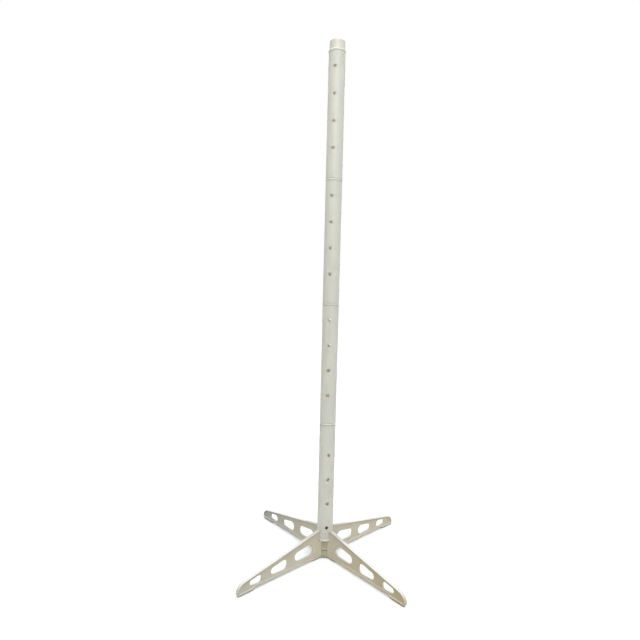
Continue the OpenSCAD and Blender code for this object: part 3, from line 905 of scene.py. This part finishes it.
class MAST_OT_fasteners(bpy.types.Operator):
    """Hub screw with its thread and cross recess, its washer and its nut"""

    bl_idname = "mast.fasteners"
    bl_label = "Fasteners"

    def execute(self, context):
        sizes = context.scene.mast_hub
        self.make_screw(sizes)
        washer, nut = circle(frame_radius("hub_washer"), 48), circle(nut_radius(), 6)
        thread = circle(sizes.shank / 2, 32)
        for name, outline, hole, (low, high), soft in (
                ("washer", washer, screw_hole(sizes), WASHER_BOX, STAMPED_ROUND),
                ("nut", nut, thread, NUT_BOX, NUT_ROUND)):
            shell = Shell()
            shell.plate(outline, [hole], low.z, high.z, soft, soft)
            piece(f"plated_{name}", shell, "zinc_plated_steel", f"hub_{name}")
        return {"FINISHED"}

    def make_screw(self, sizes):
        low, high = SCREW_BOX[0].z, SCREW_BOX[1].z
        head, under = circle(frame_radius("hub_screw"), 48), low + sizes.head_height
        middle = low + sizes.head_height / 2
        shell = Shell()
        recess = cross(sizes.drive / 2, sizes.drive_slot / 2)
        shell.plate(head, [recess], low, middle, HEAD_ROUND, 0, 4)
        shell.plate(head, [], middle, under, 0, STAMPED_ROUND)
        columns, rows_per_turn = 24, 8
        # The plain shank is as long as the run in which the thread then reaches its full depth
        depth, plain = 0.54 * sizes.pitch, 3 * MM
        rows = math.ceil((high - under) / (sizes.pitch / rows_per_turn))
        rings = []
        for row in range(rows + 1):
            z = under + (high - under) * row / rows
            ring = []
            for i in range(columns):
                turn = 2 * math.pi * i / columns
                phase = ((z - under) / sizes.pitch - i / columns) % 1
                cut = depth * (1 - abs(2 * phase - 1)) * min(1, max(0, (z - under) / plain - 1))
                reach = min(sizes.shank / 2 - cut, sizes.shank / 2 - POINT_CHAMFER + (high - z))
                ring.append((reach * math.cos(turn), reach * math.sin(turn), z))
            rings.append(shell.loop(ring))
        shell.chain(rings)
        for ring in (rings[0], rings[-1]):
            shell.fill([ring], lambda co: co.xy)
        piece("plated_screw", shell, "zinc_plated_steel", "hub_screw")


class LegPlan:
    """Side view of a leg, x outwards from the mast's axis and z up, in metres."""

    # Roundings of its corners
    ROOT, HEEL, SLOPE, SOLE, TOE, BROW = (r * MM for r in (1, 2, 4, 3, 2.5, 1.2))

    def __init__(self, scene):
        self.s = s = scene.mast_legs
        hub, collar = scene.mast_hub, frame_radius("hub_body")
        self.beside_mast, self.beside_core = collar + s.mast_gap, hub.core / 2 + hub.fit
        self.collar_foot = hub_collar_foot(scene.mast_couplings)
        self.sole_low = scene.mast_pads.proud
        self.root_foot = s.root_end + s.root_taper
        self.rail_top = s.rail_lift + s.rail_height
        self.sole_start = s.reach - s.sole
        self.nose_x, self.nose_z = s.reach - s.nose, self.sole_low + s.tip
        self.top_x = collar
        run = Vector((self.nose_x - collar, self.nose_z - s.root_height))
        self.slope = math.atan2(run.y, run.x) + math.asin(s.nose / run.length)

    def top(self, x, inset=0.0):
        """Height of the top edge at x, or of what lies so far inside it."""
        edge = self.s.root_height + (x - self.top_x) * math.tan(self.slope)
        return edge - inset / math.cos(self.slope)

    def top_points(self, inset, *places):
        """Points that divide the long top edge, so that its faces stay even."""
        return [(x, self.top(x, inset), 0, self.s.rim_width / 2) for x in places]

    def round_nose(self, inset, start):
        """The round of the nose, moved in by inset, from an angle up to the top edge."""
        end = 90 + math.degrees(self.slope)
        return arc((self.nose_x, self.nose_z), self.s.nose - inset, start, end)

    def outline(self):
        """(x, z, half thickness) round the leg, anticlockwise."""
        s = self.s
        web, rim, rail, root = s.web / 2, s.rim_width / 2, s.rail_width / 2, s.root / 2
        thinned = s.root_end + s.root_taper * (root - rail) / (root - web)
        corners = [
            (self.beside_core, 0, self.ROOT, root), (s.root_end, 0, 0, root), (thinned, 0, 0, rail),
            (self.root_foot, 0, 0, rail), (s.heel_end, 0, self.HEEL, rail),
            (s.heel_end + s.step, s.rail_lift, self.SLOPE, rail),
            (self.sole_start - s.step, s.rail_lift, self.SLOPE, rail),
            (self.sole_start, self.sole_low, self.SOLE, rim)]
        nose = arc((s.reach - s.tip, self.nose_z), s.tip, -90, -6, 14) + self.round_nose(0, 0)
        corners += [(x, z, 0, rim) for x, z in nose]
        corners += self.top_points(0, 200 * MM, 100 * MM)
        edge, under_rim = self.beside_mast, self.top(self.beside_mast, s.rim)
        corners += [
            (edge, self.top(edge), self.BROW, rim), (edge, under_rim, 0, rim),
            (edge, under_rim - s.gusset, 0, web), (edge, self.collar_foot, 0, web),
            (self.root_foot, self.collar_foot, 0, web), (s.root_end, self.collar_foot, 0, root),
            (self.beside_core, self.collar_foot, self.ROOT, root)]
        return softened(corners)

    def pocket(self):
        """(x, z, half thickness, share of a full step down to the web) round the web that the
        rim and the rail frame. The web runs out flat at the leg's inner end."""
        s = self.s
        web, rim, rail = s.web / 2, s.rim_width / 2, s.rail_width / 2
        start, sole_top = self.beside_mast + 2.5 * s.soft, self.sole_low + s.sole_thickness
        above_sole = math.asin((sole_top - self.nose_z) / (s.nose - s.rim))
        nose = self.round_nose(s.rim, math.degrees(above_sole))
        corners = [
            (start, self.rail_top, 0, rail), (self.sole_start - s.step, self.rail_top, self.SLOPE, rail),
            (self.sole_start, sole_top, self.SLOPE, rim), (*nose[0], self.TOE, rim)]
        # The rounding of the toe takes the place of the nose's first points
        corners += [(x, z, 0, rim) for x, z in nose[3:]]
        corners += self.top_points(s.rim, 200 * MM, start)
        corners += [(start, self.top(start, s.rim) - s.gusset, 0, web),
                    (start, self.rail_top + s.gusset, 0, web)]
        step = s.soft + s.fillet
        return [(x, z, half, min(1, (half - web) / step)) for x, z, half in softened(corners)]

    def window(self, number, grow):
        """(x, z) round a window moved out by grow. Its ends are round, and its sill and lintel
        are straight lines that touch them."""
        s = self.s
        last = s.reach - s.window_end
        first = last - s.window_outer - s.rib_outer - s.window_middle - s.rib_inner - s.window_start
        span = (first, s.window_middle, s.window_outer)[number]
        start = (s.window_start, s.window_start + first + s.rib_inner, last - s.window_outer)[number]

        def along(x, inner, outer):
            return inner[number] + (outer[number] - inner[number]) * (x - start) / span

        def sill(x):
            return along(x, s.sills_inner, s.sills_outer)

        def lintel(x):
            return self.top(x) - along(x, s.lintels_inner, s.lintels_outer)

        ends = []
        for x, side in ((start, 1), (start + span, -1)):
            half = (lintel(x) - sill(x)) / 2
            step = (lintel(x + side * MM) - sill(x + side * MM)) / 2
            radius = half / (1 - (step - half) / MM)
            x += side * radius
            ends.append((Vector((x, (sill(x) + lintel(x)) / 2)), radius))
        (c0, r0), (c1, r1) = ends
        run = c1 - c0
        line = math.degrees(math.atan2(run.y, run.x))
        lean = math.degrees(math.acos((r0 - r1) / run.length))
        return (arc(c1, r1 + grow, line - lean, line + lean, 7.5)
                + arc(c0, r0 + grow, line + lean, line + 360 - lean, 7.5))


class MAST_OT_legs(bpy.types.Operator):
    """Four moulded legs with rim, rail, lipped windows and beaded tongues"""

    bl_idname = "mast.legs"
    bl_label = "Legs"

    def execute(self, context):
        plan = LegPlan(context.scene)
        for name, azimuth in LEGS.items():
            shell = Shell()
            self.add_side_view(shell, plan)
            self.hug_hub(shell, plan)
            self.add_tongue(shell, plan, context.scene)
            shell.turn_to(azimuth)
            piece(f"moulded_leg_{name}", shell, "moulded_leg_plastic", f"leg_{name}")
        return {"FINISHED"}

    def add_side_view(self, shell, plan):
        """The whole leg outside the hub, as loops that step from one face to the other."""
        s, outline, pocket = plan.s, plan.outline(), plan.pocket()
        shares = [point[3] for point in pocket]
        web, lip = s.web / 2, s.lip_thickness / 2
        small = (lip - web) / 2
        edge, lip_edge = quarter(s.soft), quarter(small)
        # The fillets take as many steps as the rounded edges
        bends = [math.pi / 2 * k / 3 for k in range(4)]
        outsides, sills = [], []
        for side in (1, -1):
            def level(points, height):
                return shell.loop([(p[0], side * height(p), p[1]) for p in points])
            skirt = [level(grown(outline, out), lambda p, d=down: p[2] - d) for out, down in edge]
            brow = [level(grown(pocket, -out, shares), lambda p, d=down: p[2] - d * p[3])
                    for out, down in edge]
            foot = [level(grown(pocket, -s.fillet * (1 - math.cos(a)), shares),
                          lambda p, a=a: web + s.fillet * (1 - math.sin(a)) * p[3]) for a in bends]
            shell.chain(skirt)
            shell.chain(brow + foot)
            self.fill_face(shell, skirt[0], brow[0], outline, plan, side)
            rims, brinks = [], []
            for number in range(3):
                rise = [level(plan.window(number, s.lip + small * (1 - math.cos(a))),
                              lambda p, a=a: web + small * (1 - math.sin(a)))
                        for a in bends[::-1]]
                crown = [level(plan.window(number, s.lip + out), lambda p, d=down: lip - d)
                         for out, down in lip_edge[-2::-1]]
                brink = [level(plan.window(number, -out), lambda p, d=down: lip - d)
                         for out, down in lip_edge]
                shell.chain(rise + crown + brink)
                rims.append(rise[0])
                brinks.append(brink[-1])
            shell.fill([foot[-1]] + rims, upright)
            outsides.append(skirt[-1])
            sills.append(brinks)
        shell.bridge(*outsides)
        for near, far in zip(*sills):
            shell.bridge(near, far)
        bmesh.ops.remove_doubles(shell.bm, verts=shell.bm.verts[:], dist=0.001 * MM)

    def fill_face(self, shell, skirt, brow, outline, plan, side):
        """The face of rim, rail and root, creased where the root starts to thin and where it
        has thinned to the web."""
        def near(x, top):
            here = [i for i, p in enumerate(outline) if (p[1] > plan.collar_foot / 2) == top]
            return skirt[min(here, key=lambda i: abs(outline[i][0] - x))]

        s = plan.s
        ledge = [shell.bm.verts.new((plan.root_foot, side * half, height)) for half, height in
                 ((s.rail_width / 2, plan.rail_top), (s.web / 2, plan.rail_top + s.gusset))]
        creases = [(near(s.root_end, False), near(s.root_end, True)),
                   (near(plan.root_foot, False), ledge[0]), ledge,
                   (ledge[1], near(plan.root_foot, True))]
        shell.fill([skirt, brow], upright, creases, ledge)

    def hug_hub(self, shell, plan):
        """Curves the leg's inner end, with its rounded edges, to the hub and its collar."""
        end = 1.3 * MM  # takes in the rounded edges, and nothing behind them
        for v in shell.bm.verts:
            edge = plan.beside_mast if v.co.z > plan.collar_foot - MM else plan.beside_core
            if abs(v.co.x - edge) < end:
                v.co.x -= edge - math.sqrt(edge * edge - v.co.y * v.co.y)

    def add_tongue(self, shell, plan, scene):
        """The neck and bead that the hub holds."""
        s, hub = plan.s, scene.mast_hub
        low = CAP_BOX[0].z + hub.cap_floor + hub.fit
        high = plan.collar_foot + scene.mast_couplings.floor - hub.body_ceiling - hub.fit
        centre, neck = hub.core / 2 - s.bead_depth - s.bead, s.neck / 2
        turn = math.degrees(math.asin(neck / s.bead))
        root = plan.beside_core + CORE_SUNK
        outline = arc((centre, 0), s.bead, turn, 360 - turn, 10) + [(root, -neck), (root, neck)]
        shell.plate(outline, [], low, high, s.soft / 2, s.soft / 2)


class MAST_OT_pads(bpy.types.Operator):
    """Four rubber pads under the soles"""

    bl_idname = "mast.pads"
    bl_label = "Foot pads"

    def execute(self, context):
        sizes, legs = context.scene.mast_pads, context.scene.mast_legs
        middle = (legs.reach - legs.sole + legs.reach - legs.tip) / 2
        reach, radius = (sizes.long - sizes.wide) / 2, sizes.wide / 2
        outline = (arc((middle + reach, 0), radius, -90, 90, 10)
                   + arc((middle - reach, 0), radius, 90, 270, 10))
        for name, azimuth in LEGS.items():
            shell = Shell()
            shell.plate(outline, [], 0, sizes.thick, sizes.soft, sizes.soft)
            shell.turn_to(azimuth)
            piece(f"rubber_pad_{name}", shell, "moulded_rubber", f"foot_pad_{name}")
        return {"FINISHED"}


class MAST_OT_stage(bpy.types.Operator):
    """Camera, soft studio light, plain floor and backdrop"""

    bl_idname = "mast.stage"
    bl_label = "Stage"

    def execute(self, context):
        scene, look = context.scene, context.scene.mast_stage
        scene.view_settings.view_transform = "Standard"
        self.set_camera(scene, look)
        self.lay_floor(scene, look)
        self.set_world(scene, look)
        self.hang_lights(scene, look)
        return {"FINISHED"}

    def set_camera(self, scene, look):
        data = bpy.data.cameras.new("camera")
        data.lens, data.sensor_width = look.lens, look.sensor
        camera = bpy.data.objects.new("camera", data)
        scene.collection.objects.link(camera)
        q, p, r = look.heading, look.tilt, look.roll
        ahead = Vector((math.sin(q) * math.cos(p), math.cos(q) * math.cos(p), -math.sin(p)))
        right = Vector((math.cos(q), -math.sin(q), 0))
        up = right.cross(ahead)
        across = math.cos(r) * right + math.sin(r) * up
        above = math.cos(r) * up - math.sin(r) * right
        turn = Matrix((across, above, -ahead)).transposed().to_4x4()
        camera.matrix_world = Matrix.Translation(Vector(look.place)) @ turn
        scene.camera = camera

    def lay_floor(self, scene, look):
        bm = bmesh.new()
        bmesh.ops.create_circle(bm, cap_ends=True, radius=look.floor_radius, segments=96)
        mesh = bpy.data.meshes.new("floor")
        bm.to_mesh(mesh)
        bm.free()
        floor = bpy.data.objects.new("floor", mesh)
        floor.location.z = -FLOOR_DROP
        scene.collection.objects.link(floor)
        finish, tree = blank_finish("painted_studio_floor")
        tone = blend(tree, self.shown_rays(tree), look.floor_bounce, look.floor)
        end_in(tree, "ShaderNodeOutputMaterial", "ShaderNodeBsdfDiffuse", {"Color": tone})
        mesh.materials.append(finish)

    def set_world(self, scene, look):
        world = bpy.data.worlds.new("studio")
        scene.world = world
        world.use_nodes = True
        tree = world.node_tree
        tree.nodes.clear()
        level = ramp(tree, self.shown_rays(tree), 0, 1, look.ambient, 1)
        end_in(tree, "ShaderNodeOutputWorld", "ShaderNodeBackground",
               {"Color": opaque(look.backdrop), "Strength": level})

    def shown_rays(self, tree):
        """1 for the rays in which the eye sees the backdrop, straight, mirrored or through glass."""
        rays = add(tree, "ShaderNodeLightPath", {}).outputs
        seen = maths(tree, "MAXIMUM", rays["Is Camera Ray"], rays["Is Glossy Ray"])
        return maths(tree, "MAXIMUM", seen, rays["Is Transmission Ray"])

    def hang_lights(self, scene, look):
        """Wide lights overhead and behind, and a soft box on either side of the mast's top. The
        rear ones shine through the tubes' walls, so the peg holes show a lit wall inside."""
        level = math.cos(look.sky_height)
        down = -Vector((math.sin(look.sky_side) * level, -math.cos(look.sky_side) * level,
                        math.sin(look.sky_height)))
        # A sun shines alike wherever it stands, so these places only keep the two apart
        for name, place, aim, energy in (("overhead", (0, 0, 3), down, look.sky),
                                         ("behind", (0, 2, 3), Vector(look.back_aim), look.back)):
            self.hang(scene, name, "SUN", Vector(place), aim, energy=energy, angle=look.sky_angle,
                      color=look.sky_tint)
        for name, place, power in (("front_box", look.box_place, look.box_power),
                                   ("rear_box", look.rear_place, look.rear_power)):
            self.hang(scene, name, "AREA", Vector(place), Vector(look.box_target) - Vector(place),
                      energy=power, shape="DISK", size=look.box_size)

    def hang(self, scene, name, kind, place, aim, **settings):
        data = bpy.data.lights.new(name, kind)
        for key, value in settings.items():
            setattr(data, key, value)
        light = bpy.data.objects.new(name, data)
        light.location = place
        light.rotation_mode = "QUATERNION"
        light.rotation_quaternion = aim.to_track_quat("-Z", "Y")
        scene.collection.objects.link(light)


OPERATORS = (MAST_OT_tubes, MAST_OT_couplings, MAST_OT_hub, MAST_OT_fasteners, MAST_OT_legs,
             MAST_OT_pads, MAST_OT_stage)
GROUPS = {"mast_tubes": TubeSizes, "mast_couplings": CouplingSizes, "mast_hub": HubSizes,
          "mast_legs": LegSizes, "mast_pads": PadSizes, "mast_finishes": Finishes,
          "mast_stage": StageSettings}


class MAST_PT_sidebar(bpy.types.Panel):
    """Buttons and settings of the clothes mast"""

    bl_label = "Clothes mast"
    bl_space_type = "VIEW_3D"
    bl_region_type = "UI"
    bl_category = "Clothes mast"

    def draw(self, context):
        for operator in OPERATORS:
            self.layout.operator(operator.bl_idname)
        for name, group in GROUPS.items():
            box = self.layout.box()
            box.label(text=group.__name__)
            for key in group.__annotations__:
                box.prop(getattr(context.scene, name), key)


def register():
    for made in (*GROUPS.values(), *OPERATORS, MAST_PT_sidebar):
        bpy.utils.register_class(made)
    for name, group in GROUPS.items():
        setattr(bpy.types.Scene, name, PointerProperty(type=group))


def unregister():
    for name in GROUPS:
        delattr(bpy.types.Scene, name)
    for made in (MAST_PT_sidebar, *reversed(OPERATORS), *reversed(GROUPS.values())):
        bpy.utils.unregister_class(made)


def main():
    register()
    bpy.ops.mast.tubes()
    bpy.ops.mast.couplings()
    bpy.ops.mast.hub()
    bpy.ops.mast.fasteners()
    bpy.ops.mast.legs()
    bpy.ops.mast.pads()
    bpy.ops.mast.stage()


if __name__ == "__main__":
    main()
